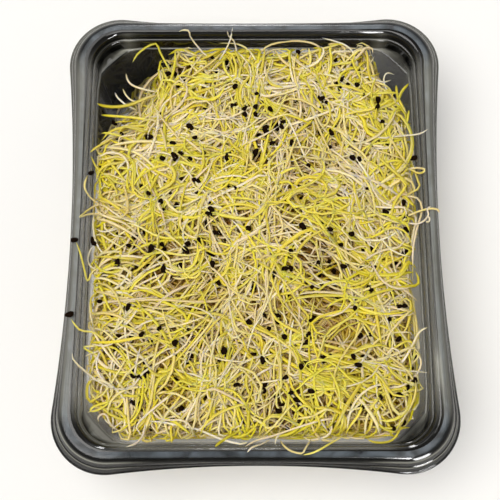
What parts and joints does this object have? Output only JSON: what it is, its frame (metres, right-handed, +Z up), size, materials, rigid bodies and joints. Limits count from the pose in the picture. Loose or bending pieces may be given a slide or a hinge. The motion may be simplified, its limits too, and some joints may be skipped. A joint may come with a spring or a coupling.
{
  "type": "microgreens tray",
  "caption": "Clear thermoformed food tray with a waisted rim, heaped with tangled leek sprouts: pale stems, yellow shoots and black seed coats.",
  "frame": {"origin": "middle of the tray's footprint, on the surface that it stands on", "axes": "+Y along the tray, to the side that is far away in the picture; +X across it; +Z up"},
  "size_m": [0.1286, 0.1574, 0.0492],
  "materials": {
    "clear_plastic": "clear glossy film that shows dark",
    "pale_stem": "moist pale stem with a soft sheen",
    "yellow_shoot": "moist yellow shoot with a soft sheen"
  },
  "bodies": {
    "root": {"tray": "clear_plastic", "sprouts_1": "pale_stem", "sprouts_2": "pale_stem", "sprouts_3": "pale_stem", "sprouts_4": "pale_stem", "sprouts_5": "pale_stem", "sprouts_6": "pale_stem", "yellow_shoots_1": "yellow_shoot", "yellow_shoots_2": "yellow_shoot", "yellow_shoots_3": "yellow_shoot", "yellow_shoots_4": "yellow_shoot", "yellow_shoots_5": "yellow_shoot", "yellow_shoots_6": "yellow_shoot", "yellow_shoots_7": "yellow_shoot", "yellow_shoots_8": "yellow_shoot", "yellow_shoots_9": "yellow_shoot", "yellow_shoots_10": "yellow_shoot", "yellow_shoots_11": "yellow_shoot", "yellow_shoots_12": "yellow_shoot"}
  },
  "joints": []
}
